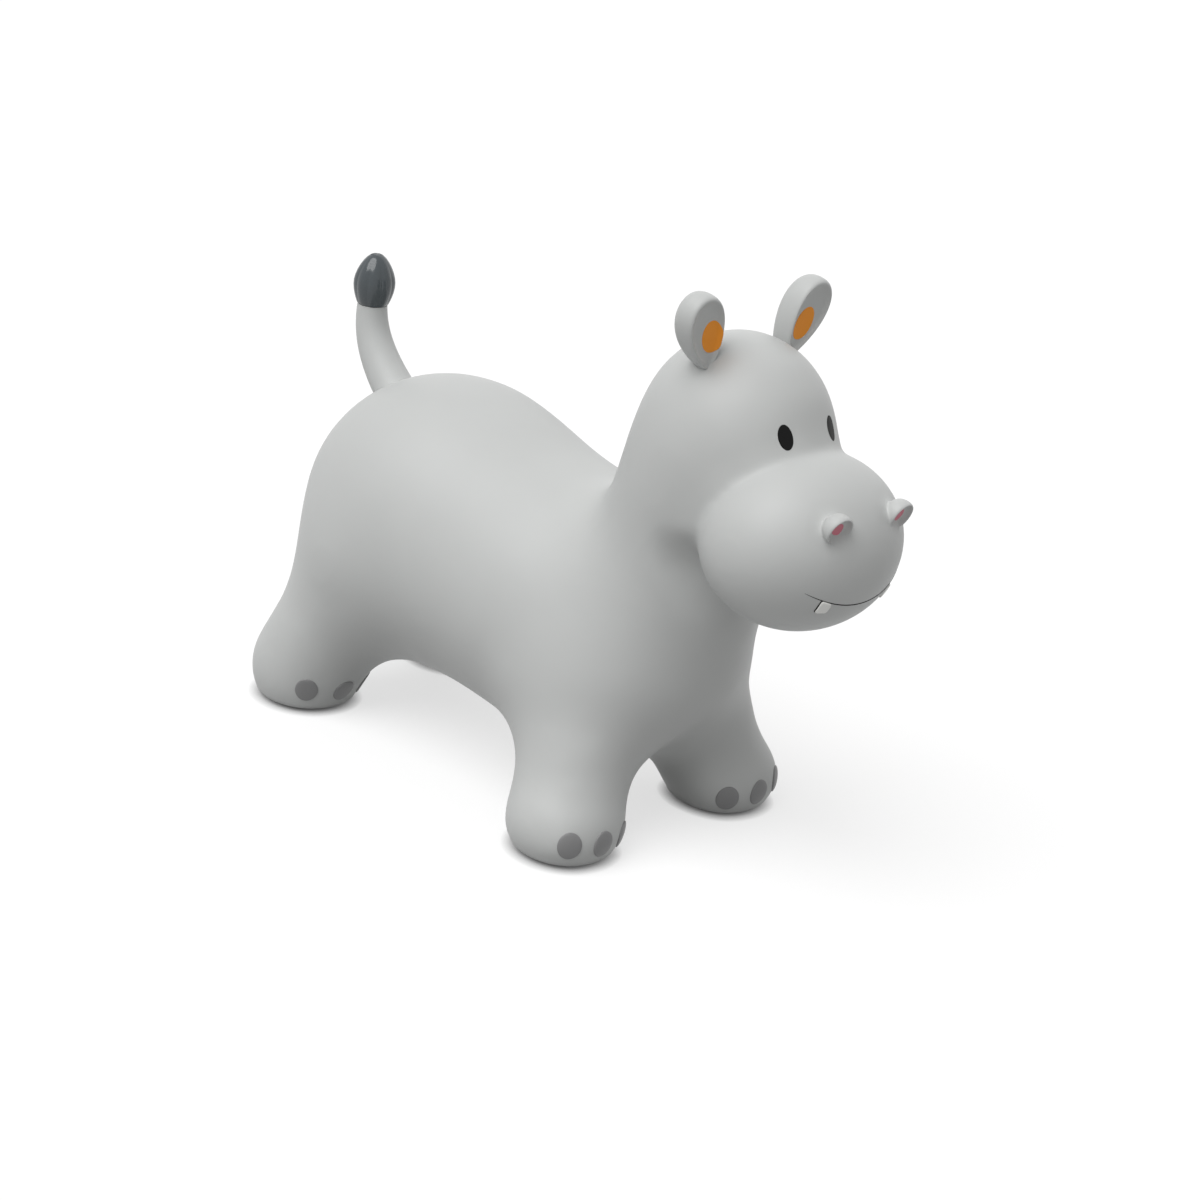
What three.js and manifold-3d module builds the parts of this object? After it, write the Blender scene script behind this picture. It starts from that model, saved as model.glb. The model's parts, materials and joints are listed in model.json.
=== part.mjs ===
// Ride-on hippo hopper: a hollow vinyl skin blown up with air, the stopper that holds the air in,
// and the ears, tail, nails and painted features that the skin carries.
// Millimetres, nose toward +X, left side toward +Y, soles on Z = 0.
import * as THREE from 'three';
import { mergeVertices } from 'three/addons/utils/BufferGeometryUtils.js';
import Module from 'manifold-3d';

const wasm = await Module();
wasm.setup();

// Fits and walls
const GAP = 0.3; // air left between pieces that touch
const WALL = 3; // vinyl wall of the skin
const SOLE = 4; // floor of each foot
const FILM = 0.8; // painted or inlaid mark
const SINK = 1.5; // stock left under a mark until it is trimmed to the skin

// Barrel: a high rump and a lower chest, blended over the saddle
const RUMP_X = -158.5;
const RUMP_Z = 177;
const RUMP_DEPTH = 132;
const RUMP_HALF = 123;
const RUMP_TALL = 125;
const CHEST_AHEAD = 180; // from the rump's centre
const CHEST_Z = 158;
const CHEST_DEPTH = 110;
const CHEST_HALF = 108;
const CHEST_TALL = 108;
const SADDLE_BLEND = 109;

// Neck and head
const NECK_AHEAD = 67; // from the chest's centre
const NECK_RISE = 11;
const NECK_R = 85;
const CROWN_R = 62;
const HEAD_AHEAD = 131; // from the chest's centre
const HEAD_RISE = 191;
const HEAD_DEPTH = 70;
const HEAD_HALF = 65;
const HEAD_TALL = 85;
const CROWN_BLEND = 57;
const NECK_BLEND = 38;

// Muzzle
const MUZZLE_AHEAD = 80; // from the head's centre
const MUZZLE_DROP = 52;
const MUZZLE_DEPTH = 73;
const MUZZLE_HALF = 85;
const MUZZLE_TALL = 70;
const MUZZLE_LEAN = THREE.MathUtils.degToRad(-7);
const MUZZLE_BLEND = 13;

// Legs, given for the left side
const FRONT_HIP_AHEAD = 59; // from the chest's centre
const FRONT_HIP_Y = 47;
const FRONT_HIP_Z = 112;
const FRONT_HIP_R = 61;
const FRONT_ANKLE_AHEAD = 85; // from the chest's centre
const FRONT_TRACK = 185; // between the two front feet
const FRONT_ANKLE_Z = 32;
const FRONT_ANKLE_R = 38;
const FRONT_FOOT_TOE_OUT = 6; // how far the foot reaches past its ankle
const FRONT_FOOT_R = 46;
const FRONT_FOOT_Z = 21.5;
const FRONT_FOOT_TALL = 30;
const ANKLE_BLEND = 28;
const REAR_HIP_BACK = 21; // from the rump's centre
const REAR_HIP_Y = 70;
const REAR_HIP_Z = 141;
const REAR_HIP_R = 48;
const REAR_FOOT_BACK = 69; // from the rump's centre
const REAR_TRACK = 176;
const REAR_FOOT_Z = 29.5;
const REAR_FOOT_R = 50;
const LEG_BLEND = 44;

// Air stopper under the belly
const STOPPER_BACK = 82; // from the chest's centre
const STOPPER_R = 4.6; // shank at its ribs
const STOPPER_LENGTH = 22; // shank above the flange
const STOPPER_RIB = 0.5;
const STOPPER_RIB_PITCH = 6;
const FLANGE_R = 9.5;
const FLANGE_THICK = 2.4;
const FLANGE_SINK = 2; // depth of the flange's seat in the belly
const BOSS_WALL = 5;
const BOSS_TALL = 18;

// Ears, given for the left side
const EAR_SPREAD = 94; // between the two roots
const EAR_LONG = 61.8; // from the skin to the tip
const EAR_ROOT = 8; // stock below the skin, trimmed away
const EAR_HALF = 18.8;
const EAR_BACK_DEEP = 20;
const EAR_RIM = 3;
const EAR_RIM_WIDE = 3;
const EAR_DISH = 1.6;
const EAR_LEAN = THREE.MathUtils.degToRad(21); // outward
const EAR_NOD = THREE.MathUtils.degToRad(7); // forward
const EAR_TURN = THREE.MathUtils.degToRad(2); // of the dish, outward
const PATCH_LONG = 26;
const PATCH_WIDE = 19.5;
const PATCH_DROP = 5; // below the middle of the blade that shows
const PATCH_INWARD = 3;

// Tail
const TAIL_ROOT_BACK = 91; // from the rump's centre
const TAIL_RISE = 66;
const TAIL_SWEEP = 38; // how far the tail leans back as it rises
const TAIL_ROOT_R = 19;
const TAIL_R = 13.3;
const TAIL_SINK = 16; // root below the skin's surface
const BUD_LONG = 46;
const BUD_R = 18.5;
const BUD_BASE_R = 13.6;

// Face
const EYE_DROP = 54; // below the crown
const EYE_SPREAD = 52;
const EYE_WIDE = 13;
const EYE_TALL = 20;
const NOSTRIL_RISE = 34; // from the muzzle's centre
const NOSTRIL_SPREAD = 68;
const NOSTRIL_R = 12.5; // of the ball that hoods it
const NOSTRIL_PROUD = 4; // ball's centre above the skin
const NOSTRIL_OPENING = 3.5; // cut ahead of the ball's centre
const NOSTRIL_DISH = 3;
const NOSTRIL_PITCH = THREE.MathUtils.degToRad(-20);
const NOSTRIL_TURN = THREE.MathUtils.degToRad(4); // outward
const MARK_WIDE = 9;
const MARK_TALL = 6;
const MOUTH_DROP = 28; // from the muzzle's centre to the middle of the smile
const MOUTH_WIDE = 108;
const MOUTH_CURL = 14; // how far the corners rise
const MOUTH_LINE = 1.5;
const TOOTH_SPREAD = 70;
const TOOTH_WIDE = 9;
const TOOTH_TALL = 10;
const TOOTH_THICK = 1.6;

// Toenails
const NAIL_WIDE = 20;
const NAIL_TALL = 23;
const NAIL_THICK = 2.6;
const NAIL_Z = 22.5;
const NAIL_STEP = 2.5; // each nail above its inner neighbour
const NAIL_SPREAD = THREE.MathUtils.degToRad(40); // between neighbouring nails round the foot

// Facets
const OUTER_CELL = 17;
const INNER_CELL = 26;
const ROUND = 20; // sides of round trim
const NAIL_SIDES = 12;

// Colours
const GREY_VINYL = new THREE.MeshStandardMaterial({ color: 0xbfc1c0, roughness: 0.5 });
const SLATE_PAINT = new THREE.MeshStandardMaterial({ color: 0x4a5157, roughness: 0.25 });
const NAIL_PAINT = new THREE.MeshStandardMaterial({ color: 0x6d6f71, roughness: 0.45 });
const ORANGE_PAINT = new THREE.MeshStandardMaterial({ color: 0xe38a3c, roughness: 0.5 });
const BLACK_PAINT = new THREE.MeshStandardMaterial({ color: 0x141414, roughness: 0.3 });
const PINK_PAINT = new THREE.MeshStandardMaterial({ color: 0xd98a93, roughness: 0.5 });
const WHITE_PAINT = new THREE.MeshStandardMaterial({ color: 0xf4f4f0, roughness: 0.4 });
const WHITE_PLASTIC = new THREE.MeshStandardMaterial({ color: 0xeeeeea, roughness: 0.4 });

const vec = (x, y, z) => new THREE.Vector3(x, y, z);
const UP = vec(0, 0, 1);
const DOWN = vec(0, 0, -1);
const AHEAD = vec(1, 0, 0);
const LEFT = vec(0, 1, 0);

// Centres that the sizes above place
const chestX = RUMP_X + CHEST_AHEAD;
const headX = chestX + HEAD_AHEAD;
const headZ = CHEST_Z + HEAD_RISE;
const muzzleX = headX + MUZZLE_AHEAD;
const muzzleZ = headZ - MUZZLE_DROP;
const frontFoot = vec(chestX + FRONT_ANKLE_AHEAD + FRONT_FOOT_TOE_OUT, FRONT_TRACK / 2, FRONT_FOOT_Z);
const rearFoot = vec(RUMP_X - REAR_FOOT_BACK, REAR_TRACK / 2, REAR_FOOT_Z);

// Distance to an egg shape leaning in the XZ plane, negative inside
function egg(centre, radii, lean = 0) {
  const c = Math.cos(lean);
  const s = Math.sin(lean);
  return (p) => {
    const x = p.x - centre.x;
    const z = p.z - centre.z;
    const q = [x * c - z * s, p.y - centre.y, x * s + z * c];
    const near = Math.hypot(q[0] / radii.x, q[1] / radii.y, q[2] / radii.z);
    const slope = Math.hypot(q[0] / radii.x ** 2, q[1] / radii.y ** 2, q[2] / radii.z ** 2);
    return (near * (near - 1)) / Math.max(slope, 1e-9);
  };
}

// Distance to the hull of two balls, the form of a limb
function limb(a, b, ra, rb) {
  const axis = b.clone().sub(a);
  const length = axis.length();
  axis.divideScalar(length);
  const sine = (ra - rb) / length;
  const cosine = Math.sqrt(1 - sine * sine);
  return (p) => {
    const q = p.clone().sub(a);
    const along = q.dot(axis);
    const out = Math.sqrt(Math.max(q.lengthSq() - along * along, 0));
    const foot = along - (out * sine) / cosine;
    if (foot <= 0) return q.length() - ra;
    if (foot >= length) return p.distanceTo(b) - rb;
    return out * cosine + along * sine - ra;
  };
}

// Union of two distances with a fillet of about the given reach
function blend(a, b, reach) {
  const h = Math.max(reach - Math.abs(a - b), 0) / reach;
  return Math.min(a, b) - (h * h * reach) / 4;
}

const headCentre = vec(headX, 0, headZ);
const rump = egg(vec(RUMP_X, 0, RUMP_Z), vec(RUMP_DEPTH, RUMP_HALF, RUMP_TALL));
const chest = egg(vec(chestX, 0, CHEST_Z), vec(CHEST_DEPTH, CHEST_HALF, CHEST_TALL));
const crown = egg(headCentre, vec(HEAD_DEPTH, HEAD_HALF, HEAD_TALL));
const neck = limb(vec(chestX + NECK_AHEAD, 0, CHEST_Z + NECK_RISE), headCentre, NECK_R, CROWN_R);
const muzzleRadii = vec(MUZZLE_DEPTH, MUZZLE_HALF, MUZZLE_TALL);
const muzzle = egg(vec(muzzleX, 0, muzzleZ), muzzleRadii, MUZZLE_LEAN);
const frontLeg = limb(
  vec(chestX + FRONT_HIP_AHEAD, FRONT_HIP_Y, FRONT_HIP_Z),
  vec(chestX + FRONT_ANKLE_AHEAD, FRONT_TRACK / 2, FRONT_ANKLE_Z),
  FRONT_HIP_R,
  FRONT_ANKLE_R,
);
const frontPaw = egg(frontFoot, vec(FRONT_FOOT_R, FRONT_FOOT_R, FRONT_FOOT_TALL));
const rearHip = vec(RUMP_X - REAR_HIP_BACK, REAR_HIP_Y, REAR_HIP_Z);
const rearLeg = limb(rearHip, rearFoot, REAR_HIP_R, REAR_FOOT_R);

// Distance to the outside of the whole skin, before the soles are flattened
function skinField(p) {
  const left = vec(p.x, Math.abs(p.y), p.z);
  const barrel = blend(rump(p), chest(p), SADDLE_BLEND);
  const front = blend(frontLeg(left), frontPaw(left), ANKLE_BLEND);
  const standing = blend(barrel, Math.min(front, rearLeg(left)), LEG_BLEND);
  const raised = blend(standing, blend(crown(p), neck(p), CROWN_BLEND), NECK_BLEND);
  return blend(raised, muzzle(p), MUZZLE_BLEND);
}

function slopeOf(field, p, step = 0.5) {
  const slope = vec(0, 0, 0);
  for (const axis of ['x', 'y', 'z']) {
    const ahead = p.clone();
    const behind = p.clone();
    ahead[axis] += step;
    behind[axis] -= step;
    slope[axis] = (field(ahead) - field(behind)) / (2 * step);
  }
  return slope;
}

// Moves a point onto the zero surface of a field
function settle(field, p, rounds = 3) {
  for (let i = 0; i < rounds; i += 1) {
    const slope = slopeOf(field, p);
    p.addScaledVector(slope, -field(p) / Math.max(slope.lengthSq(), 1e-6));
  }
  return p;
}

function middleOf(points) {
  return points.reduce((sum, p) => sum.add(p), vec(0, 0, 0)).divideScalar(points.length);
}

function geometryOf(points, triangles) {
  const geometry = new THREE.BufferGeometry();
  const numbers = points.flatMap((p) => [p.x, p.y, p.z]);
  geometry.setAttribute('position', new THREE.Float32BufferAttribute(numbers, 3));
  geometry.setIndex(triangles.flat());
  return geometry;
}

// Evenly meshed zero surface of a field inside a box: a point for each sheet of it that crosses a cell,
// and a quad round each grid edge that it cuts
function surfaceOf(field, box, cell) {
  const size = box.getSize(vec(0, 0, 0));
  const counts = ['x', 'y', 'z'].map((axis) => Math.ceil(size[axis] / cell) + 1);
  const span = vec(counts[0] - 1, counts[1] - 1, counts[2] - 1).multiplyScalar(cell);
  const origin = box.getCenter(vec(0, 0, 0)).addScaledVector(span, -0.5);
  const place = (i, j, k) => vec(i, j, k).multiplyScalar(cell).add(origin);
  const at = (i, j, k) => (i * counts[1] + j) * counts[2] + k;
  const inside = new Uint8Array(counts[0] * counts[1] * counts[2]);
  for (let i = 0; i < counts[0]; i += 1) {
    for (let j = 0; j < counts[1]; j += 1) {
      for (let k = 0; k < counts[2]; k += 1) {
        inside[at(i, j, k)] = field(place(i, j, k)) < 0;
      }
    }
  }

  // Lowest inside corner of a cell that hangs together with the given one
  const sheetOf = (cellAt, start) => {
    const found = [start];
    for (const [i, j, k] of found) {
      for (const [x, y, z] of [[1 - i, j, k], [i, 1 - j, k], [i, j, 1 - k]]) {
        const solid = inside[at(cellAt[0] + x, cellAt[1] + y, cellAt[2] + z)];
        const known = found.some((f) => f[0] === x && f[1] === y && f[2] === z);
        if (solid && !known) found.push([x, y, z]);
      }
    }
    return Math.min(...found.map(([i, j, k]) => at(i, j, k)));
  };

  const crossings = new Map();
  const pointOf = (cellAt, corner, crossing) => {
    const key = `${cellAt} ${sheetOf(cellAt, corner.map((c, n) => c - cellAt[n]))}`;
    if (!crossings.has(key)) crossings.set(key, { number: crossings.size, met: [] });
    crossings.get(key).met.push(crossing);
    return crossings.get(key).number;
  };

  const quads = [];
  for (let i = 1; i < counts[0] - 1; i += 1) {
    for (let j = 1; j < counts[1] - 1; j += 1) {
      for (let k = 1; k < counts[2] - 1; k += 1) {
        const edges = [
          [[i + 1, j, k], [[i, j - 1, k - 1], [i, j, k - 1], [i, j, k], [i, j - 1, k]]],
          [[i, j + 1, k], [[i - 1, j, k - 1], [i - 1, j, k], [i, j, k], [i, j, k - 1]]],
          [[i, j, k + 1], [[i - 1, j - 1, k], [i, j - 1, k], [i, j, k], [i - 1, j, k]]],
        ];
        for (const [next, cells] of edges) {
          const here = inside[at(i, j, k)];
          if (here === inside[at(...next)]) continue;
          const crossing = place(i, j, k).add(place(...next)).multiplyScalar(0.5);
          const quad = cells.map((c) => pointOf(c, here ? [i, j, k] : next, crossing));
          quads.push(here ? quad : quad.reverse());
        }
      }
    }
  }
  const points = [...crossings.values()].map(({ met }) => settle(field, middleOf(met), 6));
  even(field, points, quads);
  return geometryOf(points, quads.flatMap((q) => halves(points, q)));
}

// Slides the corners along the surface until their quads are of even size
function even(field, points, quads, rounds = 12) {
  const neighbours = points.map(() => new Set());
  for (const quad of quads) {
    quad.forEach((a, n) => neighbours[a].add(quad[(n + 1) % 4]).add(quad[(n + 3) % 4]));
  }
  for (let round = 0; round < rounds; round += 1) {
    const moved = points.map((p, n) => {
      const mean = vec(0, 0, 0);
      neighbours[n].forEach((m) => mean.add(points[m]));
      return p.clone().lerp(mean.divideScalar(neighbours[n].size), 0.5);
    });
    moved.forEach((p, n) => points[n].copy(settle(field, p, 2)));
  }
}

// A quad split along its shorter diagonal
function halves(points, [a, b, c, d]) {
  if (points[a].distanceTo(points[c]) <= points[b].distanceTo(points[d])) return [[a, b, c], [a, c, d]];
  return [[a, b, d], [b, c, d]];
}

// Closed body through rings of equal count, with a point closing each end
function bodyOf(first, rings, last) {
  const count = rings[0].length;
  const points = [first, ...rings.flat(), last];
  const at = (r, n) => 1 + r * count + (n % count);
  const triangles = [];
  for (let n = 0; n < count; n += 1) {
    triangles.push([0, at(0, n + 1), at(0, n)]);
    triangles.push([points.length - 1, at(rings.length - 1, n), at(rings.length - 1, n + 1)]);
    for (let r = 0; r + 1 < rings.length; r += 1) {
      triangles.push([at(r, n), at(r, n + 1), at(r + 1, n + 1)]);
      triangles.push([at(r, n), at(r + 1, n + 1), at(r + 1, n)]);
    }
  }
  const volume = triangles.reduce((sum, [a, b, c]) => {
    return sum + points[a].dot(points[b].clone().cross(points[c]));
  }, 0);
  return geometryOf(points, volume > 0 ? triangles : triangles.map(([a, b, c]) => [a, c, b]));
}

function solidOf(geometry) {
  const bare = geometry.clone();
  bare.deleteAttribute('normal');
  bare.deleteAttribute('uv');
  const merged = mergeVertices(bare, 1e-4);
  return new wasm.Manifold(new wasm.Mesh({
    numProp: 3,
    vertProperties: new Float32Array(merged.attributes.position.array),
    triVerts: new Uint32Array(merged.index.array),
  }));
}

function geometryFrom(solid) {
  const mesh = solid.getMesh();
  const geometry = new THREE.BufferGeometry();
  geometry.setAttribute('position', new THREE.BufferAttribute(new Float32Array(mesh.vertProperties), 3));
  geometry.setIndex(new THREE.BufferAttribute(new Uint32Array(mesh.triVerts), 1));
  return geometry;
}

// Round bar standing on Z, as a cutter or a boss
function bar(radius, x, y, bottom, top, sides = ROUND) {
  const geometry = new THREE.CylinderGeometry(radius, radius, top - bottom, sides);
  geometry.rotateX(Math.PI / 2);
  geometry.translate(x, y, (top + bottom) / 2);
  return solidOf(geometry);
}

// Everything below a level, as a cutter
function below(level, box) {
  const size = box.getSize(vec(0, 0, 0));
  const deep = level - box.min.z;
  const geometry = new THREE.BoxGeometry(size.x, size.y, deep);
  const middle = box.getCenter(vec(0, 0, 0));
  geometry.translate(middle.x, middle.y, level - deep / 2);
  return solidOf(geometry);
}

// Room round the skin, two cells wider than its furthest reaches
const halfWide = Math.max(
  RUMP_HALF,
  CHEST_HALF,
  MUZZLE_HALF,
  FRONT_TRACK / 2 + FRONT_FOOT_R,
  REAR_TRACK / 2 + REAR_FOOT_R,
);
const reach = new THREE.Box3(
  vec(Math.min(RUMP_X - RUMP_DEPTH, rearFoot.x - REAR_FOOT_R), -halfWide, -REAR_FOOT_R),
  vec(Math.max(muzzleX + MUZZLE_DEPTH, frontFoot.x + FRONT_FOOT_R), halfWide, headZ + HEAD_TALL),
).expandByScalar(2 * INNER_CELL);

const outerSurface = surfaceOf(skinField, reach, OUTER_CELL);

// First point of the skin met from a start outside it, with the skin's normal there
function skinHit(start, direction) {
  const p = start.clone();
  for (let i = 0; i < 200; i += 1) {
    const far = skinField(p);
    if (Math.abs(far) < 1e-4) break;
    p.addScaledVector(direction, far * 0.7);
  }
  return { point: p, normal: slopeOf(skinField, p).normalize() };
}

// The skin swollen by the gap, which trims the underside of whatever is set on it
function swollenSkin() {
  const geometry = outerSurface.clone();
  const corners = geometry.attributes.position;
  for (let n = 0; n < corners.count; n += 1) {
    const p = vec(0, 0, 0).fromBufferAttribute(corners, n);
    p.addScaledVector(slopeOf(skinField, p).normalize(), GAP);
    corners.setXYZ(n, p.x, p.y, p.z);
  }
  return solidOf(geometry);
}

const trimmer = swollenSkin();
const seated = (geometry) => geometryFrom(solidOf(geometry).subtract(trimmer));

// Where the stopper goes in: straight up into the lowest line of the belly
const stopperX = chestX - STOPPER_BACK;
const bellyZ = skinHit(vec(stopperX, 0, -REAR_FOOT_R), UP).point.z;
const seatZ = bellyZ + FLANGE_SINK;

function skin() {
  const outside = solidOf(outerSurface).subtract(below(0, reach));
  const innerField = (p) => skinField(p) + WALL;
  const hollow = solidOf(surfaceOf(innerField, reach, INNER_CELL)).subtract(below(SOLE, reach));
  const bore = STOPPER_R + GAP;
  const boss = bar(bore + BOSS_WALL, stopperX, 0, seatZ, seatZ + BOSS_TALL);
  const flangeSeat = bar(FLANGE_R + GAP, stopperX, 0, bellyZ - WALL, seatZ);
  const airway = bar(bore, stopperX, 0, bellyZ - WALL, seatZ + BOSS_TALL + WALL);
  return geometryFrom(outside.subtract(hollow).add(boss).subtract(flangeSeat).subtract(airway));
}

// Ring of points round an axis through a centre
function ring(centre, across, along, radius, sides) {
  return oval(2 * radius, 2 * radius, sides).map(([u, v]) => {
    return centre.clone().addScaledVector(across, u).addScaledVector(along, v);
  });
}

// Stopper: a flange, then a shank with ribs that narrows to a lead-in
function stopper() {
  const top = seatZ - GAP;
  const bottom = top - FLANGE_THICK;
  const profile = [
    [FLANGE_R - 1, bottom],
    [FLANGE_R, bottom + FLANGE_THICK / 3],
    [FLANGE_R, top],
    [STOPPER_R - STOPPER_RIB, top],
  ];
  for (let z = STOPPER_RIB_PITCH / 2; z + STOPPER_RIB_PITCH < STOPPER_LENGTH; z += STOPPER_RIB_PITCH) {
    profile.push([STOPPER_R - STOPPER_RIB, top + z]);
    profile.push([STOPPER_R, top + z + STOPPER_RIB_PITCH / 3]);
    profile.push([STOPPER_R - STOPPER_RIB, top + z + (STOPPER_RIB_PITCH * 2) / 3]);
  }
  profile.push([STOPPER_R * 0.7, top + STOPPER_LENGTH]);
  const rings = profile.map(([r, z]) => ring(vec(stopperX, 0, z), AHEAD, LEFT, r, ROUND));
  return bodyOf(vec(stopperX, 0, bottom), rings, vec(stopperX, 0, top + STOPPER_LENGTH));
}

// Frame for a mark: a ground that maps flat (u, v) to a point on the skin and its normal
function skinGround(hit, upward) {
  const across = upward.clone().cross(hit.normal).normalize();
  const along = hit.normal.clone().cross(across);
  return (u, v) => {
    const start = hit.point.clone().addScaledVector(across, u).addScaledVector(along, v);
    return skinHit(start.addScaledVector(hit.normal, WALL * 4), hit.normal.clone().negate());
  };
}

function flatGround(point, across, along, normal) {
  return (u, v) => ({ point: point.clone().addScaledVector(across, u).addScaledVector(along, v), normal });
}

// Raised mark: an outline shrunk and lifted ring by ring along a profile of [share, height]
function raised(ground, outline, profile) {
  const lift = (u, v, height) => {
    const { point, normal } = ground(u, v);
    return point.addScaledVector(normal, height);
  };
  const rings = profile.map(([share, height]) => {
    return outline.map(([u, v]) => lift(u * share, v * share, height));
  });
  return bodyOf(lift(0, 0, profile[0][1]), rings, lift(0, 0, profile[profile.length - 1][1]));
}

function oval(wide, tall, sides) {
  return Array.from({ length: sides }, (_, n) => {
    const turn = (2 * Math.PI * n) / sides;
    return [(wide / 2) * Math.cos(turn), (tall / 2) * Math.sin(turn)];
  });
}

// Flat film from a base to the given height, with a rounded edge
const filmProfile = (base, top) => [
  [0.5, base],
  [1, base],
  [1, top - FILM * 0.4],
  [0.9, top],
  [0.5, top],
];

// Ear frame: root on the crown, blade leaning out and forward, dish facing ahead and a little outward
function earFrame(side) {
  const over = vec(headX, (side * EAR_SPREAD) / 2, headZ + 2 * HEAD_TALL);
  const root = skinHit(over, DOWN).point;
  const along = vec(Math.tan(EAR_NOD), side * Math.tan(EAR_LEAN), 1).normalize();
  const face = vec(Math.cos(EAR_TURN), side * Math.sin(EAR_TURN), 0);
  face.addScaledVector(along, -face.dot(along)).normalize();
  const across = along.clone().cross(face);
  return { root, along, face, across };
}

// Petal outline, pointed at the root and round at the tip
function petal(half, long, sides) {
  const shape = (turn) => Math.sin(turn) * Math.sin(turn / 2) ** 0.8;
  const turns = Array.from({ length: sides }, (_, n) => (2 * Math.PI * n) / sides);
  const widest = Math.max(...turns.map(shape));
  return turns.map((turn) => [(half * shape(turn)) / widest, (-long / 2) * Math.cos(turn)]);
}

// Ear: a thick petal with a rounded back, a raised rim and a shallow dish in front
function ear(side) {
  const { root, along, face, across } = earFrame(side);
  const rimShare = 1 - EAR_RIM_WIDE / EAR_HALF;
  const profile = [
    [0.4, -EAR_BACK_DEEP],
    [0.75, -EAR_BACK_DEEP * 0.92],
    [0.93, -EAR_BACK_DEEP * 0.7],
    [1, -EAR_BACK_DEEP * 0.35],
    [1, 0],
    [0.95, EAR_RIM * 0.8],
    [(1 + rimShare) / 2, EAR_RIM],
    [rimShare, EAR_RIM - EAR_DISH],
    [rimShare / 2, EAR_RIM - EAR_DISH],
  ];
  const middle = root.clone().addScaledVector(along, (EAR_LONG - EAR_ROOT) / 2);
  const ground = flatGround(middle, across, along, face);
  return seated(raised(ground, petal(EAR_HALF, EAR_LONG + EAR_ROOT, ROUND + 4), profile));
}

function earPatch(side) {
  const { root, along, face, across } = earFrame(side);
  const base = EAR_RIM - EAR_DISH + GAP;
  const centre = root.clone().addScaledVector(along, EAR_LONG / 2 - PATCH_DROP);
  const inward = Math.sign(across.y) * -side * PATCH_INWARD;
  const ground = flatGround(centre.addScaledVector(across, inward), across, along, face);
  return raised(ground, oval(PATCH_WIDE, PATCH_LONG, NAIL_SIDES + 4), filmProfile(base, base + FILM));
}

// Tail line: up off the rump, leaning back, then upright
const tailRoot = skinHit(vec(RUMP_X - TAIL_ROOT_BACK, 0, RUMP_Z + 2 * RUMP_TALL), DOWN);
const tailTop = tailRoot.point.clone().add(vec(-TAIL_SWEEP, 0, TAIL_RISE));
const tailBow = tailTop.clone().add(vec(0, 0, -TAIL_RISE * 0.6));
const tailLine = new THREE.QuadraticBezierCurve3(tailRoot.point, tailBow, tailTop);

function tail() {
  const steps = 9;
  const rings = Array.from({ length: steps + 1 }, (_, n) => {
    const share = n / steps;
    const heading = tailLine.getTangent(share);
    const thick = TAIL_R + (TAIL_ROOT_R - TAIL_R) * (1 - share) ** 2;
    return ring(tailLine.getPoint(share), LEFT, heading.cross(LEFT), thick, ROUND);
  });
  const heading = tailLine.getTangent(0);
  const sunk = tailRoot.point.clone().addScaledVector(heading, -TAIL_SINK);
  rings.unshift(ring(sunk, LEFT, heading.cross(LEFT), TAIL_ROOT_R, ROUND));
  return seated(bodyOf(sunk, rings, tailTop));
}

// Bud at the end of the tail: an onion turned about the tail's last heading
function tailTip() {
  const heading = tailLine.getTangent(1);
  const start = tailTop.clone().addScaledVector(heading, GAP);
  const swell = new THREE.SplineCurve([
    new THREE.Vector2(BUD_BASE_R, 0),
    new THREE.Vector2(BUD_R, BUD_LONG * 0.43),
    new THREE.Vector2(BUD_R * 0.72, BUD_LONG * 0.77),
    new THREE.Vector2(BUD_R * 0.2, BUD_LONG * 0.985),
  ]);
  const rings = swell.getPoints(9).map(({ x, y }) => {
    return ring(start.clone().addScaledVector(heading, y), LEFT, heading.clone().cross(LEFT), x, ROUND);
  });
  return bodyOf(start, rings, start.clone().addScaledVector(heading, BUD_LONG));
}

function facing(y, z) {
  return skinHit(vec(muzzleX + 3 * MUZZLE_DEPTH, y, z), AHEAD.clone().negate());
}

const eyeSeat = (side) => skinGround(facing((side * EYE_SPREAD) / 2, headZ + HEAD_TALL - EYE_DROP), UP);

function eye(side) {
  return seated(raised(eyeSeat(side), oval(EYE_WIDE, EYE_TALL, ROUND), filmProfile(-SINK, GAP + FILM)));
}

// Nostril frame: a ball set on the muzzle, its opening facing ahead, a little down and outward
function nostrilGround(side) {
  const { point, normal } = facing((side * NOSTRIL_SPREAD) / 2, muzzleZ + NOSTRIL_RISE);
  const open = vec(1, side * Math.tan(NOSTRIL_TURN), Math.tan(NOSTRIL_PITCH)).normalize();
  const across = UP.clone().cross(open).normalize();
  return flatGround(point.addScaledVector(normal, NOSTRIL_PROUD), across, open.clone().cross(across), open);
}

// Nostril: a ball cut open, with a dished opening
function nostril(side) {
  const shareAt = (height) => Math.sqrt(1 - (height / NOSTRIL_R) ** 2);
  const ball = [-0.95, -0.75, -0.4, 0].map((h) => [shareAt(NOSTRIL_R * h), NOSTRIL_R * h]);
  const lip = shareAt(NOSTRIL_OPENING);
  const profile = [
    ...ball,
    [lip, NOSTRIL_OPENING],
    [lip * 0.86, NOSTRIL_OPENING],
    [lip * 0.66, NOSTRIL_OPENING - NOSTRIL_DISH * 0.7],
    [lip * 0.38, NOSTRIL_OPENING - NOSTRIL_DISH],
  ];
  return seated(raised(nostrilGround(side), oval(2 * NOSTRIL_R, 2 * NOSTRIL_R, ROUND), profile));
}

function nostrilMark(side) {
  const base = NOSTRIL_OPENING - NOSTRIL_DISH + GAP;
  return raised(nostrilGround(side), oval(MARK_WIDE, MARK_TALL, NAIL_SIDES), filmProfile(base, base + FILM));
}

const smileZ = (y) => muzzleZ - MOUTH_DROP + MOUTH_CURL * (2 * y / MOUTH_WIDE) ** 2;

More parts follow.
